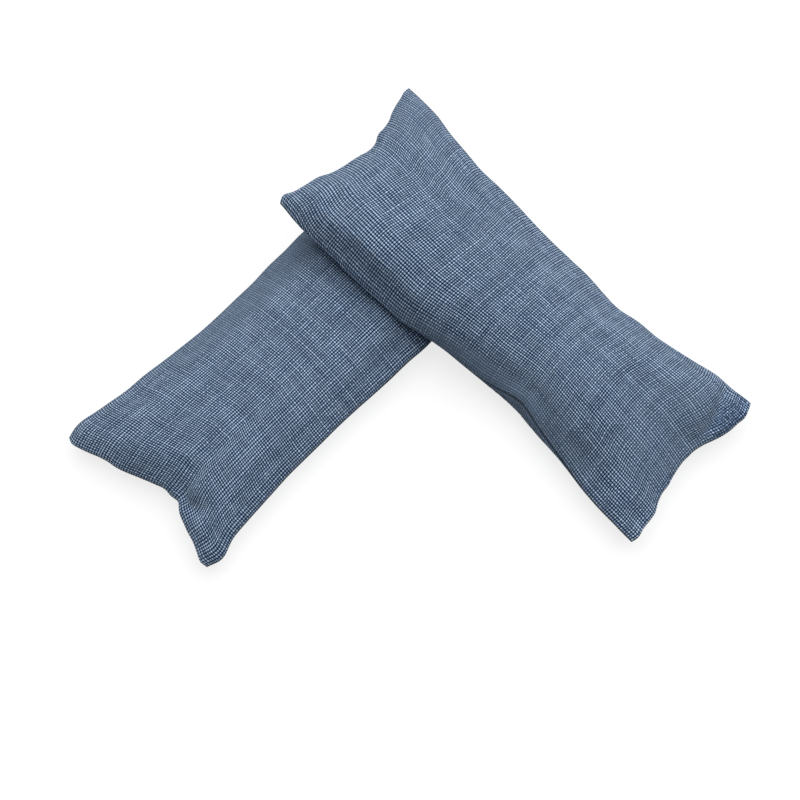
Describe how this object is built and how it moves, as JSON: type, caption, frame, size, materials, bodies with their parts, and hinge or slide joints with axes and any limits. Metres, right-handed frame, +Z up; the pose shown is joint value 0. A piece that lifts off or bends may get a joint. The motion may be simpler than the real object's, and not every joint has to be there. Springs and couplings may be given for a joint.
{
  "type": "charcoal deodorizer bag pair",
  "caption": "Pair of small pillow-shaped bags in blue linen-look cloth, filled with charcoal granules in a sealed liner, one bag lying across the far end of the other.",
  "frame": {"origin": "on the surface that the pair lies on, under the middle of its bounding box", "axes": "+Z up; +X to the picture's right, along the pair's longest extent; +Y away from the viewer. The upper bag's length runs 44.2 degrees below +X, and the lower bag's is square to it."},
  "size_m": [0.2382, 0.1758, 0.0418],
  "materials": {
    "linen_cloth": "matte",
    "sewing_thread": "matte",
    "liner_cloth": "matte",
    "charcoal_granules": "matte"
  },
  "bodies": {
    "lower_bag": {"lower_front_panel": "linen_cloth", "lower_back_panel": "linen_cloth", "lower_liner_front": "liner_cloth", "lower_liner_back": "liner_cloth", "lower_charcoal_fill": "charcoal_granules", "lower_left_seam_thread": "sewing_thread", "lower_right_seam_thread": "sewing_thread", "lower_end_seam_thread": "sewing_thread", "lower_closing_thread": "sewing_thread"},
    "upper_bag": {"upper_front_panel": "linen_cloth", "upper_back_panel": "linen_cloth", "upper_liner_front": "liner_cloth", "upper_liner_back": "liner_cloth", "upper_charcoal_fill": "charcoal_granules", "upper_left_seam_thread": "sewing_thread", "upper_right_seam_thread": "sewing_thread", "upper_end_seam_thread": "sewing_thread", "upper_closing_thread": "sewing_thread"}
  },
  "joints": [
    {"name": "upper_bag_lift", "type": "slide", "parent": "lower_bag", "child": "upper_bag", "axis": [0, 0, 1], "range_m": [0, 0.12]}
  ]
}
